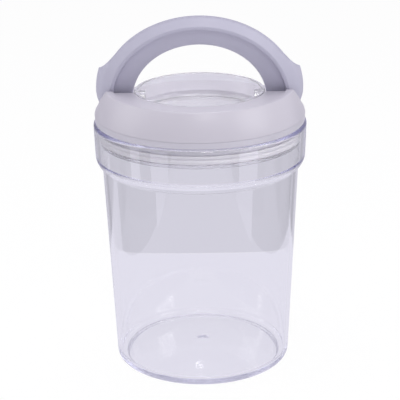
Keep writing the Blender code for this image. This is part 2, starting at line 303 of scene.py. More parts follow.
def seen_rays(tree):
    """A socket that is 1 on rays the eye follows: straight, mirrored, or through clear plastic."""
    path = add_node(tree, "ShaderNodeLightPath")
    mirrored = add_node(tree, "ShaderNodeMath", {0: path.outputs["Is Camera Ray"],
                                                 1: path.outputs["Is Glossy Ray"]},
                        operation="MAXIMUM")
    bent = add_node(tree, "ShaderNodeMath", {0: mirrored.outputs[0],
                                             1: path.outputs["Is Transmission Ray"]},
                    operation="MAXIMUM")
    return bent.outputs[0]


scene = bpy.context.scene
world = bpy.data.worlds.new("white_tent")
scene.world = world
world.use_nodes = True
sky = world.node_tree
sky.nodes.clear()
ambient = add_node(sky, "ShaderNodeBackground", {"Color": linear("#f3f2f6"),
                                                 "Strength": AMBIENT_LEVEL})
white = add_node(sky, "ShaderNodeBackground", {"Color": (1, 1, 1, 1), "Strength": 1.0})
shown = add_node(sky, "ShaderNodeMixShader", {0: seen_rays(sky), 1: ambient.outputs[0],
                                              2: white.outputs[0]})
add_node(sky, "ShaderNodeOutputWorld", {"Surface": shown.outputs[0]})
print(f"world: {world.name}, ambient level {AMBIENT_LEVEL}")

# %% [markdown]
# ### Floor
#
# The floor is white paper with a faint fibre. Paper alone would show the lamps' falloff, so rays
# that the eye follows see mostly a white glow and a little of the paper. Only a trace of the shadow
# is left, as in the photo.

# %% Floor
FLOOR_GLOW = 0.93
FLOOR_REACH = 3.0
FLOOR_Z = -0.0002

paper = bpy.data.materials.new("white_paper_floor")
paper.use_nodes = True
tree = paper.node_tree
tree.nodes.clear()
share = add_node(tree, "ShaderNodeMath", {0: seen_rays(tree), 1: FLOOR_GLOW}, operation="MULTIPLY")
place = add_node(tree, "ShaderNodeTexCoord")
fibre = add_node(tree, "ShaderNodeTexNoise", {"Vector": place.outputs["Object"],
                                              "Scale": per_mm(2.5), "Detail": 4.0})
tone = add_node(tree, "ShaderNodeMix", {0: fibre.outputs["Fac"], 6: linear("#f6f6f8"),
                                        7: linear("#fafafb")}, data_type="RGBA")
dull = add_node(tree, "ShaderNodeBsdfDiffuse", {"Color": tone.outputs[2]})
glow = add_node(tree, "ShaderNodeEmission", {"Color": (1, 1, 1, 1), "Strength": 1.0})
both = add_node(tree, "ShaderNodeMixShader", {0: share.outputs[0], 1: dull.outputs[0],
                                              2: glow.outputs[0]})
add_node(tree, "ShaderNodeOutputMaterial", {"Surface": both.outputs[0]})

reach = np.linspace(0, FLOOR_REACH, 12)
floor_grid = turned(np.stack([reach, 0 * reach + FLOOR_Z], 1), 48)
floor_mesh = closed_mesh("floor", [(floor_grid, False, True)])
floor = bpy.data.objects.new("floor", floor_mesh)
scene.collection.objects.link(floor)
floor_mesh.materials.append(paper)

# %% [markdown]
# ### Cards
#
# A clear jar shows its surroundings, bent. Here these are a pale sheet and backdrop, darker wings
# beside it, and dark sides with bright strips, which draw the upright streaks on the collar. A
# studio photographer stands up sheets of card for this, lit by lamps. Here each is a flat glowing
# grid instead, so the darker wings, the dark sides and the bright strips are painted shade and
# painted streaks of light. Only reflected and bent rays see the cards, so that they light nothing else.

# %% Cards that only the clear and glossy surfaces show
CARD_GLOW_TINT = "#f3f1ff"
SHEET_X = 0.6
SHEET_Z = -0.0001
FRONT_Y = -0.55
BACKDROP_Y = 0.1545
BACKDROP_STEP_Z = 0.10
BACKDROP_RISE = 0.35
WING_X = 0.13
WING_Y = BACKDROP_Y - 0.001
WING_HEIGHT = 0.2
SIDE_X = 0.188
SIDE_Z = 0.004
SIDE_TOP_Z = 0.125
STRIP_X = 0.186
# Levels of light: 1 is the white of the picture.
SHEET_LEVEL = 0.85
BACKDROP_LEVEL = 0.70
BACKDROP_TOP_LEVEL = 0.785
WING_LEVEL = 0.5
SIDE_THROUGH = 0.70
STRIP_LEVEL = 1.6


def add_glowing_card(name, corner, along, across, mirrored, through):
    """A flat glowing card, not lit paper: corner + u along + v across, with one level of glow in
    mirrors and one through the jar.
    """
    u = np.linspace(0, 1, 9)[None, :, None]
    v = np.linspace(0, 1, 5)[:, None, None]
    points = np.array(corner) + u * np.array(along) + v * np.array(across)
    mesh = closed_mesh(name, [(points, False, False)])
    finish = bpy.data.materials.new(f"{name}_paper")
    finish.use_nodes = True
    tree = finish.node_tree
    tree.nodes.clear()
    path = add_node(tree, "ShaderNodeLightPath")
    level = add_node(tree, "ShaderNodeMapRange", {"Value": path.outputs["Transmission Depth"],
                                                  "To Min": mirrored, "To Max": through})
    glow = add_node(tree, "ShaderNodeEmission", {"Color": linear(CARD_GLOW_TINT),
                                                 "Strength": level.outputs[0]})
    add_node(tree, "ShaderNodeOutputMaterial", {"Surface": glow.outputs[0]})
    mesh.materials.append(finish)
    card = bpy.data.objects.new(name, mesh)
    scene.collection.objects.link(card)
    card.visible_camera = False
    card.visible_diffuse = False
    card.visible_shadow = False


depth = (0, BACKDROP_Y - FRONT_Y, 0)
width = (2 * SHEET_X, 0, 0)
lower = (0, 0, BACKDROP_STEP_Z)
upper = (0, 0, BACKDROP_RISE)
add_glowing_card("pale_sheet", (-SHEET_X, FRONT_Y, SHEET_Z), width, depth, SHEET_LEVEL, SHEET_LEVEL)
add_glowing_card("pale_backdrop", (-SHEET_X, BACKDROP_Y, 0), width, lower, BACKDROP_LEVEL, BACKDROP_LEVEL)
add_glowing_card("pale_backdrop_top", (-SHEET_X, BACKDROP_Y, BACKDROP_STEP_Z), width, upper,
         BACKDROP_TOP_LEVEL, BACKDROP_TOP_LEVEL)
# Beside the backdrop the tent is darker, painted as grey glowing wings, and only the jar's outer edges
# bend light from there.
wing = (SHEET_X - WING_X, 0, 0)
for name, x in (("left", -SHEET_X), ("right", WING_X)):
    rise = (0, 0, WING_HEIGHT)
    add_glowing_card(f"grey_wing_{name}", (x, WING_Y, 0), wing, rise, WING_LEVEL, WING_LEVEL)
# The sides are black glowing cards in mirrors, a painted dark, which gives the collar its edges.
for name, x, back_y in (("left", -SIDE_X, 0.04), ("right", SIDE_X, 0.12)):
    run = (0, back_y - FRONT_Y, 0)
    rise = (0, 0, SIDE_TOP_Z - SIDE_Z)
    add_glowing_card(f"dark_card_{name}", (x, FRONT_Y, SIDE_Z), run, rise, 0.0, SIDE_THROUGH)
# Bright glowing strips stand just inside the dark cards and show as painted streaks of light on the
# collar.
for name, x, y, z, run in (("left", -STRIP_X, -0.298, 0, 0.134),
                           ("far_left", -STRIP_X, -0.109, 0.055, 0.040),
                           ("right", STRIP_X, -0.235, 0, 0.111)):
    rise = (0, 0, SIDE_TOP_Z - z)
    add_glowing_card(f"bright_strip_{name}", (x, y, z), (0, run, 0), rise, STRIP_LEVEL, SIDE_THROUGH)

# %% [markdown]
# ### Lamps
#
# Soft boxes overhead and at both sides light the lid evenly, and a smaller one high in front puts
# the soft highlights on its edges. A sun lamp is simpler, but its shadow is too hard, so each of
# these is a square area lamp, turned towards the object by a tracking rotation.

# %% Lamps
MIDDLE = (0, 0, 0.12)


def add_lamp(name, place, aim, size, watts):
    """A square soft lamp at a place, turned to face a point."""
    light = bpy.data.lights.new(name, "AREA")
    light.shape = "SQUARE"
    light.size = size
    light.energy = watts
    lamp = bpy.data.objects.new(name, light)
    scene.collection.objects.link(lamp)
    lamp.location = place
    lamp.rotation_euler = (Vector(aim) - Vector(place)).to_track_quat("-Z", "Y").to_euler()


add_lamp("overhead_softbox", (0.0, 0.0, 0.95), MIDDLE, 0.5, 2.2)
add_lamp("right_softbox", (0.79, -0.40, 0.60), MIDDLE, 0.5, 2.2)
add_lamp("left_softbox", (-0.91, -0.05, 0.55), MIDDLE, 0.6, 1.5)
add_lamp("front_key", (0.1, -0.70, 0.86), (0, 0, 0.17), 0.18, 1.0)

# %% [markdown]
# ## Finishes
#
# The jar and inner lid are clear styrene-acrylonitrile, moulded in polished tools. It bends light
# more than acrylic does, and its faint violet dye shows only where light runs a long way inside it:
# along the rim and at the edges. So the dye is an absorption inside the volume, not a surface colour.

# %% Clear SAN
def clear_plastic(name, tint, clarity, density, dye):
    """Polished clear plastic with faint flow waves from moulding and a dye inside."""
    made, tree, shader = new_finish(name, {
        "Base Color": linear(tint), "IOR": 1.57, "Transmission Weight": clarity})
    place = add_node(tree, "ShaderNodeTexCoord")
    # Melt flowed up the wall from the gate, so its waves are tall and narrow.
    stretched = add_node(tree, "ShaderNodeMapping", {"Vector": place.outputs["Object"],
                                                     "Scale": (1.0, 1.0, 0.25)})
    waves = add_node(tree, "ShaderNodeTexNoise", {"Vector": stretched.outputs[0],
                                                  "Scale": per_mm(16.0), "Detail": 1.0})
    bump = add_node(tree, "ShaderNodeBump", {"Height": waves.outputs["Fac"], "Strength": 0.02,
                                             "Distance": 0.0005})
    tree.links.new(bump.outputs[0], shader.inputs["Normal"])
    # Handling leaves faint dull patches a few centimetres across.
    haze = add_node(tree, "ShaderNodeTexNoise", {"Vector": place.outputs["Object"],
                                                 "Scale": per_mm(22.0), "Detail": 3.0})
    rough = add_node(tree, "ShaderNodeMapRange", {"Value": haze.outputs["Fac"], "From Min": 0.3,
                                                  "From Max": 0.8, "To Min": 0.008,
                                                  "To Max": 0.028})
    tree.links.new(rough.outputs[0], shader.inputs["Roughness"])
    inside = add_node(tree, "ShaderNodeVolumeAbsorption", {"Color": linear(dye), "Density": density})
    tree.links.new(inside.outputs[0], tree.nodes["Material Output"].inputs["Volume"])
    return made


jar_finish = clear_plastic("moulded_clear_san_jar", "#ffffff", 1.0, 2.0, "#524abc")
dish_finish = clear_plastic("moulded_clear_san_inner_lid", "#fcfbfe", 0.82, 2.0, "#524abc")
print("clear finishes:", jar_finish.name, dish_finish.name)

# %% [markdown]
# The lid and the handle are moulded ABS from tools with a fine spark-eroded texture, so they are
# satin, not glossy. The lid is a warm grey and the handle a bluer one. Each gets three layers: a
# faint cloudiness from the pigment, the fine grain of the tool, and small changes of gloss.

# %% Textured ABS
def satin_moulding(name, light, dark, roughness):
    """Satin moulded plastic: cloudy pigment, fine tool grain, and gloss that varies a little."""
    made, tree, shader = new_finish(name, {"IOR": 1.53})
    place = add_node(tree, "ShaderNodeTexCoord")
    cloud = add_node(tree, "ShaderNodeTexNoise", {"Vector": place.outputs["Object"],
                                                  "Scale": per_mm(24.0), "Detail": 3.0})
    colour = add_node(tree, "ShaderNodeMix", {0: cloud.outputs["Fac"], 6: linear(dark),
                                              7: linear(light)}, data_type="RGBA")
    tree.links.new(colour.outputs[2], shader.inputs["Base Color"])
    # The real grain is about 0.1 mm, too fine to show here, so it is drawn at 0.9 mm.
    grain = add_node(tree, "ShaderNodeTexNoise", {"Vector": place.outputs["Object"],
                                                  "Scale": per_mm(0.9), "Detail": 2.0})
    bump = add_node(tree, "ShaderNodeBump", {"Height": grain.outputs["Fac"], "Strength": 0.12,
                                             "Distance": 0.0001})
    tree.links.new(bump.outputs[0], shader.inputs["Normal"])
    gloss = add_node(tree, "ShaderNodeMapRange", {"Value": cloud.outputs["Fac"], "From Min": 0.3,
                                                  "From Max": 0.7, "To Min": roughness - 0.02,
                                                  "To Max": roughness + 0.03})
    tree.links.new(gloss.outputs[0], shader.inputs["Roughness"])
    return made


lid_finish = satin_moulding("spark_textured_abs_warm_grey", "#c2bec9", "#bebac5", 0.32)
ring_finish = satin_moulding("spark_textured_abs_base_grey", "#c6c3ce", "#c2bfca", 0.40)
handle_finish = satin_moulding("spark_textured_abs_lavender", "#bbb9cb", "#b7b5c7", 0.38)
print("satin finishes:", lid_finish.name, ring_finish.name, handle_finish.name)

# %% [markdown]
# The gasket is silicone rubber and the pins are drawn steel wire. Silicone is milky: light goes
# through it and comes out scattered, so it takes the same three layers and lets some light pass.
# Drawn wire keeps fine lines along its length, which is X here, so its noise is stretched that way.

# %% Silicone and steel
gasket_finish = satin_moulding("milky_silicone_rubber", "#efedf2", "#e9e7ed", 0.45)
gasket_shader = gasket_finish.node_tree.nodes["Principled BSDF"]
gasket_shader.inputs["Transmission Weight"].default_value = 0.30
gasket_shader.inputs["IOR"].default_value = 1.41

pin_finish, pin_tree, pin_shader = new_finish("drawn_stainless_steel_wire", {
    "Metallic": 1.0, "Base Color": linear("#c9c8c6")})
place = add_node(pin_tree, "ShaderNodeTexCoord")
drawn = add_node(pin_tree, "ShaderNodeMapping", {"Vector": place.outputs["Object"],
                                                 "Scale": (0.05, 1.0, 1.0)})
lines = add_node(pin_tree, "ShaderNodeTexNoise", {"Vector": drawn.outputs[0],
                                                  "Scale": per_mm(0.25), "Detail": 2.0})
gloss = add_node(pin_tree, "ShaderNodeMapRange", {"Value": lines.outputs["Fac"], "To Min": 0.18,
                                                  "To Max": 0.42})
pin_tree.links.new(gloss.outputs[0], pin_shader.inputs["Roughness"])
print("other finishes:", gasket_finish.name, pin_finish.name)

# %% [markdown]
# ## Jar
#
# The jar is one injection moulding: a slightly tapered body, a shoulder that flares into a wide
# collar, and a rim. A profile turned about the axis gives it exactly, with the inner wall one wall
# thickness inside the outer one, so that the clear plastic bends light as a real wall does.

# %% Jar
RIM_Z = 0.1425
COLLAR_R = 0.0600
COLLAR_FOOT = (0.0592, 0.1193)
BODY_TOP = (0.0555, 0.1168)
BODY_FOOT_R = 0.0500
JAR_WALL = 0.0022
SHOULDER_RISE = 0.0011
JAR_FLOOR = 0.0032
FOOT_RECESS = 0.0008
COLLAR_LEDGE_Z = 0.1230
FOOT_RING_R = 0.0448
DOME_R = 0.0440
FLOOR_RISE = 0.0045
INNER_DOME_R = 0.95 * DOME_R
DOME_STEPS = 14
GATE_R = 0.0034
GATE_SLOPE = 0.0014
GATE_DEPTH = 0.0003
GATE_Z = FOOT_RECESS + FLOOR_RISE + GATE_DEPTH
JAR_FLOOR_FILLET = 0.0028
NECK_FILLET = 0.0030
LEDGE_FILLET = 0.0012
RIM_ROUNDING = 0.0018
COLLAR_FILLET = 0.0074
SHOULDER_EDGE = 0.0008
FOOT_FILLET = 0.0036
# Radii of moulded edges, from a crisp tool line to an easy corner.
CRISP_EDGE = 0.0002
FINE_EDGE = 0.0003
SMALL_EDGE = 0.0004
SOFT_EDGE = 0.0006
EASY_CORNER = 0.0015
# Facets show through clear walls, so the jar has more columns than the lid.
JAR_COLUMNS = 480


def dome(base_z, radii):
    """Corners of the pushed-up floor: z = base + FLOOR_RISE * (1 - (r / DOME_R)^2)."""
    return [(r, base_z + FLOOR_RISE * (1 - (r / DOME_R) ** 2), 0) for r in radii]


jar_profile = rounded([
    *dome(JAR_FLOOR, np.linspace(0, INNER_DOME_R, DOME_STEPS)),
    (BODY_FOOT_R - JAR_WALL, JAR_FLOOR, JAR_FLOOR_FILLET),
    (BODY_TOP[0] - JAR_WALL, BODY_TOP[1] + SHOULDER_RISE, NECK_FILLET),
    (COLLAR_FOOT[0] - JAR_WALL, COLLAR_LEDGE_Z, LEDGE_FILLET),
    (COLLAR_R - JAR_WALL, RIM_Z, FINE_EDGE),
    (COLLAR_R, RIM_Z, RIM_ROUNDING),
    (*COLLAR_FOOT, COLLAR_FILLET),
    (*BODY_TOP, SHOULDER_EDGE),
    (BODY_FOOT_R, 0, FOOT_FILLET),
    (FOOT_RING_R, 0, SMALL_EDGE),
    *dome(FOOT_RECESS, np.linspace(DOME_R, GATE_R, DOME_STEPS)),
    (GATE_R - GATE_SLOPE, GATE_Z, 0),
    (0, GATE_Z, 0),
])
jar_mesh = closed_mesh("clear_jar", [(turned(jar_profile, JAR_COLUMNS), False, True)])
jar = add_piece("clear_jar", jar_mesh, "jar", "jar", jar_finish)
# Clear plastic lets nearly all light through, so it throws no shadow of its own.
jar.visible_shadow = False

# %% [markdown]
# ## Base ring of the lid
#
# Under the cover sits a narrow band, just above the jar's rim, with a skirt that guides the lid in
# the collar. Only the band and the seam above it show, and the skirt is seen through the clear wall.
# Separate rings for band, plate and skirt would look the same outside, but the real ring is one
# moulding, so one turned profile takes in all its steps.

# %% Base ring
CROWN_FOOT_R = 0.0592
CROWN_FOOT_Z = 0.1465
COVER_WALL = 0.0020
COVER_BORE_R = 0.0372
BAND_R = 0.0590
BAND_TOP_Z = 0.14645
SEAT_Z = 0.1428
PLATE_TOP_Z = 0.1448
SKIRT_R = 0.0567
SKIRT_FOOT_Z = 0.1390
SKIRT_WALL = 0.0024
SPIGOT_GAP = 0.0006
SPIGOT_WALL = 0.0016
SPIGOT_R = CROWN_FOOT_R - COVER_WALL - SPIGOT_GAP
SPIGOT_TOP_Z = BAND_TOP_Z + 0.0008
BAND_EDGE = 0.0001

ring_profile = rounded([
    (BAND_R, BAND_TOP_Z, BAND_EDGE),
    (BAND_R, SEAT_Z, SMALL_EDGE),
    (SKIRT_R, SEAT_Z, CRISP_EDGE),
    (SKIRT_R, SKIRT_FOOT_Z, SOFT_EDGE),
    (SKIRT_R - SKIRT_WALL, SKIRT_FOOT_Z, SMALL_EDGE),
    (SKIRT_R - SKIRT_WALL, SEAT_Z, SMALL_EDGE),
    (COVER_BORE_R, SEAT_Z, CRISP_EDGE),
    (COVER_BORE_R, BAND_TOP_Z, CRISP_EDGE),
    (COVER_BORE_R + COVER_WALL, BAND_TOP_Z, CRISP_EDGE),
    (COVER_BORE_R + COVER_WALL, PLATE_TOP_Z, CRISP_EDGE),
    (SPIGOT_R - SPIGOT_WALL, PLATE_TOP_Z, CRISP_EDGE),
    (SPIGOT_R - SPIGOT_WALL, SPIGOT_TOP_Z, CRISP_EDGE),
    (SPIGOT_R, SPIGOT_TOP_Z, CRISP_EDGE),
    (SPIGOT_R, BAND_TOP_Z, CRISP_EDGE),
], steps=4)
ring_mesh = closed_mesh("base_ring", [(turned(ring_profile), True, True)])
add_piece("base_ring", ring_mesh, "lid", "lid_base_ring", ring_finish)

# %% [markdown]
# ## Section of the crown
#
# Cover and handle make up one ring, so their sections are alike: a recessed flat, a low lip, and a
# cone that bulges a little on its way down. The handle's flat lies deeper, and its lip is narrower
# and meets the cone on a chamfer. Both are surfaces over (row, column) grids, where a row is a point
# of the section and a column is a step round the ring.

# %% Crown section
CROWN_TOP_Z = 0.1616
CROWN_FLAT_Z = 0.1606
LIP_OUTER_R = 0.0527
LIP_SLOPE = 0.0004
CROWN_BULGE = 0.00075
# Each lip has an inner radius, an outer radius and a rounding of its outer edge.
COVER_LIP = (0.0489, LIP_OUTER_R, 0.0011)
HANDLE_LIP = (0.0487, 0.0506, 0.0010)
HANDLE_FLAT_Z = 0.1596
HANDLE_CHAMFER = 1.02
BORE_EDGE = 0.0010
BORE_START = 0.004
WALL_START = 0.0029
CONE_POINTS = 160

lip = np.array([LIP_OUTER_R, CROWN_TOP_Z])
fall = np.array([CROWN_FOOT_R, CROWN_FOOT_Z]) - lip
outwards = np.array([-fall[1], fall[0]]) / np.linalg.norm(fall)
share = np.linspace(0, 1, CONE_POINTS)[:, None]
cone = lip + fall * share + outwards * 4 * CROWN_BULGE * share * (1 - share)


def cone_r(z):
    """The crown's outer radius at a height: the straight cone plus a parabolic bulge."""
    return np.interp(-z, -cone[:, 1], cone[:, 0])


def handle_r(z):
    """The handle's outer radius at a height: the crown's cone, cut by a chamfer up to the lip."""
    return np.minimum(cone_r(z), HANDLE_LIP[1] + HANDLE_CHAMFER * (CROWN_TOP_Z - z))


def crown_rows(bore, flat_z, wall_r, lip_inner_r, lip_outer_r, lip_edge):
    """(r, z) rows over the crown from its bore edge, along the flat and the lip, to its wall."""
    wall_z = CROWN_TOP_Z - WALL_START
    return rounded([
        (bore, flat_z - BORE_START, 0),
        (bore, flat_z, BORE_EDGE),
        (lip_inner_r - LIP_SLOPE, flat_z, CRISP_EDGE),
        (lip_inner_r, CROWN_TOP_Z, FINE_EDGE),
        (lip_outer_r, CROWN_TOP_Z, lip_edge),
        (wall_r(wall_z), wall_z, 0),
    ], guard=0)[1:-1]


print("crown rows:", len(crown_rows(COVER_BORE_R, CROWN_FLAT_Z, cone_r, *COVER_LIP)))

# %% [markdown]
# ## Cover
#
# The cover is the grey ring: high in front, where two stop ends lean with the raised handle, and a
# low deck behind for the cams. A Boolean would cut the back away, but leaves hard edges. As a grid,
# each row runs along the front, rolls over the stop's edge, drops to the deck and goes on behind.

# %% Stop ends and deck
PIVOT_Z = 0.1551
CAM_R = 0.0055
LIFT = 0.0015
SWING = math.radians(111)
LEAN = SWING - math.pi / 2
DECK_GAP = 0.00025
DECK_Z = PIVOT_Z - CAM_R - DECK_GAP
STOP_GAP = 0.0005
STOP_R = CAM_R + STOP_GAP


def stop_y(z):
    """The stop end's y at a height: a hollow round the cam, and above it a plane tangent to it."""
    meet_y = STOP_R * math.cos(math.pi + LEAN)
    meet_z = PIVOT_Z + STOP_R * math.sin(math.pi + LEAN)
    hollow = -np.sqrt(np.maximum(STOP_R ** 2 - (z - PIVOT_Z) ** 2, 0))
    return np.where(z > meet_z, meet_y - (z - meet_z) * math.tan(LEAN), hollow)


stop_top = float(stop_y(CROWN_TOP_Z))
print(f"deck {DECK_Z * 1000:.2f} mm up, stop ends at y {stop_top * 1000:.1f} mm on top")

# %% [markdown]
# With the stop ends known, the cover's top is one grid: rows across the section, columns round the
# ring. Wall and bore hang from its last and first rows, so the edges meet.

# %% Cover
CONE_ROWS = 22
FRONT_COLUMNS = 100
ROLL_STEPS = 4
DROP_COLUMNS = 16
WALL_ROWS = 8
STOP_EDGE_SHARE = 0.3


def cover_top():
    """Rows of the crown's section; columns over the front, the stop end and the deck.

    Front and deck are x = r cos a, y = r sin a. On the stop end x = sqrt(r^2 - y^2). The half on
    the +X side runs from front to back, and its mirror image goes on from back to front.
    """
    rows = crown_rows(COVER_BORE_R, CROWN_FLAT_Z, cone_r, *COVER_LIP)
    low_z = np.linspace(rows[-1, 1], DECK_Z, CONE_ROWS)[1:]
    rows = np.concatenate([rows, np.stack([cone_r(low_z), low_z], 1)])
    r, z = rows[:, :1], rows[:, 1:]
    # The rounding of the stop's edge runs out where the section comes down to the deck.
    edge = np.minimum(SOFT_EDGE, STOP_EDGE_SHARE * (z - DECK_Z))
    step = np.linspace(0, 1, FRONT_COLUMNS)
    end = np.arcsin((stop_y(z) - edge) / r)
    front_a = -math.pi / 2 + (end + math.pi / 2) * step
    front = np.stack([r * np.cos(front_a), r * np.sin(front_a), z + 0 * front_a], -1)
    # The edge rolls over on a parabola whose middle control point is the sharp corner.
    roll = np.linspace(0, 1, ROLL_STEPS + 2)[1:-1]
    low = z - edge
    roll_y = ((1 - roll) ** 2 * (stop_y(z) - edge) + 2 * roll * (1 - roll) * stop_y(z)
              + roll ** 2 * stop_y(low))
    roll_z = (1 - roll) ** 2 * z + 2 * roll * (1 - roll) * z + roll ** 2 * low
    drop_z = low + (DECK_Z - low) * np.linspace(0, 1, DROP_COLUMNS)
    end_y = np.concatenate([roll_y, stop_y(drop_z)], 1)
    end_z = np.concatenate([roll_z, drop_z], 1)
    stop = np.stack([np.sqrt(r ** 2 - end_y ** 2), end_y, end_z], -1)
    first = np.arcsin(stop_y(DECK_Z) / r)
    deck_a = first + (math.pi / 2 - first) * step[1:]
    # Both edges of the deck are rounded: a quarter circle takes the height down.
    outer = np.clip((r - r[-1] + SOFT_EDGE) / SOFT_EDGE, 0, 1)
    inner = np.clip((r[0] + SOFT_EDGE - r) / SOFT_EDGE, 0, 1)
    sunk = SOFT_EDGE * (2 - np.sqrt(1 - outer ** 2) - np.sqrt(1 - inner ** 2))
    deck = np.stack([r * np.cos(deck_a), r * np.sin(deck_a), DECK_Z - sunk + 0 * deck_a], -1)
    half = np.concatenate([front, stop, deck], 1)
    return np.concatenate([half, half[:, ::-1] * (-1, 1, 1)], 1)


def cover_sides(top):
    """Wall, bore and foot under the top's edges: the wall follows the cone and rolls in at the seam."""
    turn_there = np.arctan2(top[-1, :, 1], top[-1, :, 0])
    seam_z = CROWN_FOOT_Z + CRISP_EDGE
    down = np.linspace(0, 1, WALL_ROWS)[1:, None]
    wall_z = top[-1, :, 2] + (seam_z - top[-1, :, 2]) * down
    roll_a = np.linspace(0, math.pi / 2, ROLL_STEPS + 1)[1:, None]
    wall_z = np.concatenate([wall_z, seam_z - CRISP_EDGE * np.sin(roll_a) + 0 * wall_z[:1]])
    wall_r = cone_r(wall_z)
    wall_r[-ROLL_STEPS:] = cone_r(seam_z) - CRISP_EDGE * (1 - np.cos(roll_a))
    wall = np.stack([wall_r * np.cos(turn_there), wall_r * np.sin(turn_there), wall_z], -1)
    wall = np.concatenate([top[-1:], wall])
    bore_foot = top[:1] * (1, 1, 0) + (0, 0, CROWN_FOOT_Z)
    bore = np.concatenate([top[:1] + (bore_foot - top[:1]) * s for s in (0, 0.5, 1)])
    foot = np.concatenate([wall[-1:], bore_foot])
    return wall, bore, foot


top = cover_top()
cover_mesh = closed_mesh("lid_cover_ring", [(grid, False, True) for grid in (top, *cover_sides(top))])
add_piece("lid_cover_ring", cover_mesh, "lid", "lid_cover", lid_finish)

# %% [markdown]
# ## Inner lid
#
# The inner lid is a clear dish with a brim below it, and a ridge on the brim that keeps the gasket
# in place. All of that is round, so one turned profile makes it, as for the jar.

# %% Turned dish
PLUG_R = 0.0366
PLUG_WALL = 0.0022
DISH_RIM_Z = 0.1598
DISH_FLOOR_Z = 0.1465
BRIM_TOP_Z = 0.1337
BRIM_FOOT_Z = 0.1314
BRIM_R = 0.0562
RIDGE_R = 0.0495
RIDGE_BORE_R = RIDGE_R - 0.0020
RIDGE_TOP_Z = BRIM_TOP_Z + 0.0034
DISH_FILLET = 0.0030
DISH_COLUMNS = 384

inner_r = PLUG_R - PLUG_WALL
dish_profile = rounded([
    (0, DISH_FLOOR_Z, 0),
    (inner_r, DISH_FLOOR_Z, DISH_FILLET),
    (inner_r, DISH_RIM_Z, SOFT_EDGE),
    (PLUG_R, DISH_RIM_Z, SOFT_EDGE),
    (PLUG_R, BRIM_TOP_Z, EASY_CORNER),
    (RIDGE_BORE_R, BRIM_TOP_Z, FINE_EDGE),
    (RIDGE_BORE_R, RIDGE_TOP_Z, SMALL_EDGE),
    (RIDGE_R, RIDGE_TOP_Z, SMALL_EDGE),
    (RIDGE_R, BRIM_TOP_Z, FINE_EDGE),
    (BRIM_R, BRIM_TOP_Z, SMALL_EDGE),
    (BRIM_R, BRIM_FOOT_Z, SOFT_EDGE),
    (inner_r, BRIM_FOOT_Z, SOFT_EDGE),
    (inner_r, DISH_FLOOR_Z - PLUG_WALL, EASY_CORNER),
    (0, DISH_FLOOR_Z - PLUG_WALL, 0),
], steps=5)
dish_mesh = closed_mesh("clear_inner_lid", [(turned(dish_profile, DISH_COLUMNS), False, True)])

# %% [markdown]
# Two bosses inside the dish's wall hold the hinge pins. They cross the wall, so they are joined to
# the dish and bored by Booleans. Bosses as pieces of their own would be simpler, but a seam would
# show through the clear wall.

# %% Bosses and bores
PIN_R = 0.0015
PIN_CLEARANCE = 0.0001
BOSS_R = 0.0042
BOSS_INNER_X = 0.0304
BORE_OVERRUN = 0.002
BORE_SIDES = 32


def rod_along_x(profile, height, sides=48):
    """A profile of (x, radius) rows turned about a line along X at a height."""
    angle = np.arange(sides) * 2 * math.pi / sides
    x, radius = profile[:, :1], profile[:, 1:]
    return np.stack([x + 0 * angle, radius * np.cos(angle), height + radius * np.sin(angle)], -1)


def boss_grid(low_x, high_x):
    """A boss: a round top on straight sides, carried along X and closed at both ends."""
    angle = np.linspace(0, math.pi, 25)
    y = np.concatenate([BOSS_R * np.cos(angle), [-BOSS_R, BOSS_R]])
    foot = DISH_FLOOR_Z - PLUG_WALL / 2
    z = np.concatenate([PIVOT_Z + BOSS_R * np.sin(angle), [foot, foot]])
    edge = SMALL_EDGE
    x = np.array([low_x, low_x, low_x + edge, high_x - edge, high_x, high_x])
    size = np.array([0, 1 - edge / BOSS_R, 1, 1, 1 - edge / BOSS_R, 0])[:, None]
    middle_z = 0.5 * (z.max() + z.min())
    return np.stack([x[:, None] + 0 * y, size * y, middle_z + size * (z - middle_z)], -1)


def pin_bores(near_x, far_x, height):
    """A rod along X on each side, wider than the pins by their clearance, to cut bores with."""
    radius = PIN_R + PIN_CLEARANCE
    profile = np.array([(near_x, 0), (near_x, radius), (far_x, radius), (far_x, 0)])
    rods = [rod_along_x(profile * (sign, 1), height, BORE_SIDES) for sign in (-1, 1)]
    return [closed_mesh("bore", [(rod, False, True)]) for rod in rods]


boss_ends = [(BOSS_INNER_X, PLUG_R - PLUG_WALL / 2), (PLUG_WALL / 2 - PLUG_R, -BOSS_INNER_X)]
bosses = [closed_mesh("boss", [(boss_grid(*ends), False, True)]) for ends in boss_ends]
dish_mesh = combined("clear_inner_lid", dish_mesh, bosses, "UNION")
bores = pin_bores(BOSS_INNER_X - BORE_OVERRUN, PLUG_R + BORE_OVERRUN, PIVOT_Z)
dish_mesh = combined("clear_inner_lid", dish_mesh, bores, "DIFFERENCE")
dish = add_piece("clear_inner_lid", dish_mesh, "plug", "inner_lid", dish_finish)
dish.visible_shadow = False

# %% [markdown]
# ## Gasket
#
# The gasket is a soft ring between the brim and the skirt, with a groove round it so that it gives.
# It is turned like the other rings. The brim comes up when the handle folds.

# %% Gasket
GASKET_R = 0.0569
GASKET_BORE_R = 0.0500
GASKET_TOP_Z = 0.1387
GASKET_FOOT_Z = 0.1340
GASKET_MID_Z = 0.5 * (GASKET_TOP_Z + GASKET_FOOT_Z)
GROOVE_DEPTH = 0.0006
GROOVE_HALF = 0.0010

gasket_profile = rounded([
    (GASKET_R, GASKET_TOP_Z, SMALL_EDGE),
    (GASKET_R, GASKET_MID_Z + GROOVE_HALF, SMALL_EDGE),
    (GASKET_R - GROOVE_DEPTH, GASKET_MID_Z, SMALL_EDGE),
    (GASKET_R, GASKET_MID_Z - GROOVE_HALF, SMALL_EDGE),
    (GASKET_R, GASKET_FOOT_Z, SMALL_EDGE),
    (GASKET_BORE_R, GASKET_FOOT_Z, FINE_EDGE),
    (GASKET_BORE_R, GASKET_TOP_Z, FINE_EDGE),
], steps=5)
gasket_mesh = closed_mesh("seal_ring", [(turned(gasket_profile), True, True)])
gasket = add_piece("seal_ring", gasket_mesh, "lid", "gasket", gasket_finish)
gasket.visible_shadow = False
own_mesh(gasket)

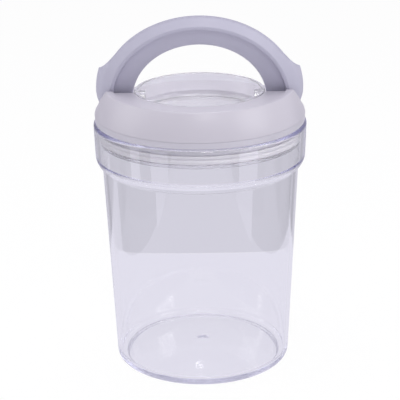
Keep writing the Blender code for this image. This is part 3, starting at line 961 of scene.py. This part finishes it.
# %% [markdown]
# ## Hinge pins
#
# Each pin is a short piece of steel wire with bevelled ends. It sits in a boss of the inner lid, and
# an ear of the handle turns on it. Blender's own cylinder would do, but a turned profile gives the
# bevels at once.

# %% Hinge pins
PIN_INNER_X = 0.0306
PIN_OUTER_X = 0.0460
PIN_BEVEL = 0.0003

for side, sign in (("left", -1), ("right", 1)):
    ends = sign * np.array([PIN_INNER_X, PIN_INNER_X, PIN_INNER_X + PIN_BEVEL,
                            PIN_OUTER_X - PIN_BEVEL, PIN_OUTER_X, PIN_OUTER_X])
    radii = np.array([0, PIN_R - PIN_BEVEL, PIN_R, PIN_R, PIN_R - PIN_BEVEL, 0])
    rod = rod_along_x(np.stack([ends, radii], 1), PIVOT_Z)
    pin_mesh = closed_mesh(f"steel_pin_{side}", [(rod, False, True)])
    add_piece(f"steel_pin_{side}", pin_mesh, "plug", f"hinge_pin_{side}", pin_finish)

# %% [markdown]
# ## Handle
#
# The handle is the back half of the crown on its pivot. It is worked out folded, where its top is
# level with the cover's, and then turned up by the swing. From the side its outline is a cam round
# the pivot, a deep ear, a fillet, and a shallow band. Cutting that outline from a ring with Booleans
# leaves hard edges, so the outline is worked out first, as the columns of a grid.

# %% Outline of the handle
FOLDED_PIVOT_Z = PIVOT_Z + LIFT
BAND_DEPTH = 0.0046
EAR_LENGTH = 0.0124
EAR_FILLET = 0.0190
CAM_DOWN = 1.5 * math.pi
CAM_REST = CAM_DOWN - SWING
CAM_COLUMNS = 24
EAR_COLUMNS = 16
FILLET_COLUMNS = 22


def handle_outline():
    """The outline below the top, as (y, z, normal y, normal z) columns: cam, ear, fillet.

    The cam's support height grows evenly with its angle, so the lift follows the swing: a point is
    the support times its direction plus the support's slope times the tangent.
    """
    slope = LIFT / SWING
    a = np.linspace(CAM_REST, CAM_DOWN, CAM_COLUMNS)
    support = CAM_R + slope * (a - CAM_REST)
    cam = np.stack([support * np.cos(a) - slope * np.sin(a),
                    support * np.sin(a) + slope * np.cos(a), -np.cos(a), -np.sin(a)], 1)
    ear_foot = -(CAM_R + LIFT)
    band_foot = CROWN_TOP_Z - FOLDED_PIVOT_Z - BAND_DEPTH
    centre = np.array([EAR_LENGTH + EAR_FILLET, band_foot - EAR_FILLET])
    corner = math.pi - math.asin((ear_foot - centre[1]) / EAR_FILLET)
    b = np.linspace(corner, math.pi / 2, FILLET_COLUMNS)
    fillet = np.stack([centre[0] + EAR_FILLET * np.cos(b), centre[1] + EAR_FILLET * np.sin(b),
                       np.cos(b), np.sin(b)], 1)
    y = np.linspace(cam[-1, 0], fillet[0, 0], EAR_COLUMNS)[1:-1]
    ear = np.stack([y, 0 * y + ear_foot, 0 * y, 0 * y + 1], 1)
    return np.concatenate([cam, ear, fillet])


under = handle_outline()
print(f"outline: {len(under)} columns, band from y {under[-1, 0] * 1000:.1f} mm")

# %% [markdown]
# The band's columns go on from the outline to the middle of the half ring. Such handles have a
# channel below with ribs across it, which keeps the walls thin and the handle stiff. So the columns
# gather at the sides of the ribs, and those on a rib are marked.

# %% Columns of the handle's band
BAND_COLUMNS = 60
# Places along the band, and half the width of a rib, are shares of the way to the middle.
RIB_PLACES = (0.12, 0.56, 1.0)
RIB_HALF = 0.0176
RIB_LEAN = 0.001

ribs = np.array(RIB_PLACES)
rib_sides = np.concatenate([ribs - RIB_HALF, ribs[:-1] + RIB_HALF])
even = np.linspace(0, 1, BAND_COLUMNS)[1:]
band = np.unique(np.concatenate([even, rib_sides - RIB_LEAN, rib_sides + RIB_LEAN]))
on_rib = (np.abs(band[:, None] - ribs) < RIB_HALF).any(1)
print(f"band: {len(band)} columns, {on_rib.sum()} of them on ribs")

# %% [markdown]
# Rows are radii from bore to cone. Top, underside and both walls use the same rows and columns, so
# their edges meet and the mesh closes. Heights are from the pivot, which makes the swing one turn
# about the X axis.

# %% Top of the handle
HANDLE_BORE_R = 0.0374
NOSE_COLUMNS = 11


def handle_top(r, z, start):
    """The top: x = r cos a, y = r sin a, where a = arcsin(y / r) up to the band, then even steps."""
    way = np.linspace(0, 1, NOSE_COLUMNS + CAM_COLUMNS)
    y = np.concatenate([CAM_R * np.cos(start) * (1 - way) + under[CAM_COLUMNS - 1, 0] * way,
                        under[CAM_COLUMNS:, 0] + 0 * r], 1)
    first = np.arcsin(under[-1, 0] / r)
    a = np.concatenate([np.arcsin(y / r), first + (math.pi / 2 - first) * band], 1)
    return np.stack([r * np.cos(a), r * np.sin(a), z + 0 * a], -1)


rows = crown_rows(HANDLE_BORE_R, HANDLE_FLAT_Z, handle_r, *HANDLE_LIP) - (0, FOLDED_PIVOT_Z)
r, z = rows[:, :1], rows[:, 1:]
nose_start = math.pi - np.arcsin(z / CAM_R)
top = handle_top(r, z, nose_start)
print(f"top: {top.shape[0]} rows, {top.shape[1]} columns")

# %% [markdown]
# The underside has the same rows and columns. Its lower edges are rounded, and between the walls and
# the ribs it is pushed up to the channel's roof, which leaves one wall thickness under the flat.

# %% Underside of the handle
HANDLE_WALL = 0.0020
WALL_LEAN = 0.0001
FOOT_EDGE = 0.0005
EDGE_STEPS = (0, 0.00008, 0.00025, FOOT_EDGE)
NOMINAL_WIDTH = 0.0155
CHANNEL_START_Y = 0.0128


def handle_foot(r, start):
    """The underside: x = sqrt(r^2 - y^2) along the outline, x = r cos a, y = r sin a on the band."""
    nose = np.linspace(0, 1, NOSE_COLUMNS + 1)[:-1]
    nose_a = start + (CAM_REST - start) * nose
    y = np.concatenate([CAM_R * np.cos(nose_a), under[:, 0] + 0 * r], 1)
    low_z = np.concatenate([CAM_R * np.sin(nose_a), under[:, 1] + 0 * r,
                            under[-1, 1] + 0 * band + 0 * r], 1)
    split = y.shape[1]

    # Rows keep their distance from the bore and the cone, but on the nose they settle in from the top.
    near = np.array([*EDGE_STEPS, HANDLE_WALL])
    edge_rows = len(near)
    channel = HANDLE_WALL + WALL_LEAN
    inside = np.linspace(channel, NOMINAL_WIDTH - channel, len(r) - 2 * edge_rows)
    share = np.concatenate([near, inside, NOMINAL_WIDTH - near[::-1]])[:, None] / NOMINAL_WIDTH
    settle = np.concatenate([nose, np.ones(low_z.shape[1] - len(nose))])
    width = handle_r(low_z[-1] + FOLDED_PIVOT_Z) - HANDLE_BORE_R
    along = (r - r[0]) / (r[-1] - r[0]) * (1 - settle) + share * settle
    radius = r * (1 - settle) + (HANDLE_BORE_R + width * share) * settle

    # Between its walls and off its ribs the underside is a channel, and the cone is narrower there.
    roof = HANDLE_FLAT_Z - HANDLE_WALL - FOLDED_PIVOT_Z
    hollow = np.zeros((len(r), 1))
    hollow[edge_rows:-edge_rows] = 1
    hollow = hollow * np.concatenate([0 * nose, under[:, 0] > CHANNEL_START_Y, ~on_rib])
    roof_radius = HANDLE_BORE_R + (handle_r(roof + FOLDED_PIVOT_Z) - HANDLE_BORE_R) * share
    radius = radius + (roof_radius - radius) * hollow
    first = np.arcsin(under[-1, 0] / radius[:, split:])
    band_a = first + (math.pi / 2 - first) * band

    # Rounded lower edges: near the bore and the cone the outline moves in on a quarter circle.
    gap = np.minimum(along, 1 - along) * width
    lift = FOOT_EDGE - np.sqrt(FOOT_EDGE ** 2 - np.maximum(FOOT_EDGE - gap, 0) ** 2)
    lift = np.maximum(lift, 0) * settle
    normal_y = np.concatenate([-np.cos(nose_a), under[:, 2] + 0 * r], 1)
    normal_z = np.concatenate([-np.sin(nose_a), under[:, 3] + 0 * r, 1 + 0 * band + 0 * r], 1)
    y = y + normal_y * lift[:, :split]
    low_z = low_z + normal_z * lift
    low_z = low_z + (roof - low_z) * hollow

    x = np.sqrt(radius[:, :split] ** 2 - y ** 2)
    x = np.concatenate([x, radius[:, split:] * np.cos(band_a)], 1)
    y = np.concatenate([y, radius[:, split:] * np.sin(band_a)], 1)
    return np.stack([x, y, low_z], -1)


foot = handle_foot(r, nose_start)
print(f"underside: {foot.shape[0]} rows, {foot.shape[1]} columns")

# %% [markdown]
# The walls close the gap between top and underside. Then one half is mirrored, the pins' bores are
# cut, and the handle is turned up from folded to raised.

# %% Walls of the handle
HANDLE_WALL_ROWS = 12
PIN_END_GAP = 0.0004


def handle_wall(k):
    """A wall from row k of the top down to the underside: x = r cos a, y = r sin a, even in a and z."""
    down = np.linspace(0, 1, HANDLE_WALL_ROWS)[:, None]
    top_turn = np.arctan2(top[k, :, 1], top[k, :, 0])
    foot_turn = np.arctan2(foot[k, :, 1], foot[k, :, 0])
    a = top_turn + (foot_turn - top_turn) * down
    wall_z = top[k, :, 2] + (foot[k, :, 2] - top[k, :, 2]) * down
    wall_r = handle_r(wall_z + FOLDED_PIVOT_Z) if k else HANDLE_BORE_R + 0 * wall_z
    wall = np.stack([wall_r * np.cos(a), wall_r * np.sin(a), wall_z], -1)
    wall[0] = top[k]
    wall[-1] = foot[k]
    return wall


halves = [top, foot, handle_wall(-1), handle_wall(0)]
grids = [(half * (sign, 1, 1), False, False) for half in halves for sign in (1, -1)]
handle_mesh = closed_mesh("half_ring_handle", grids)
bores = pin_bores(HANDLE_BORE_R - BORE_OVERRUN, PIN_OUTER_X + PIN_END_GAP, 0)
handle_mesh = combined("half_ring_handle", handle_mesh, bores, "DIFFERENCE")
handle_mesh.transform(Matrix.Translation((0, 0, PIVOT_Z)) @ Matrix.Rotation(SWING, 4, "X"))
add_piece("half_ring_handle", handle_mesh, "handle", "handle", handle_finish)
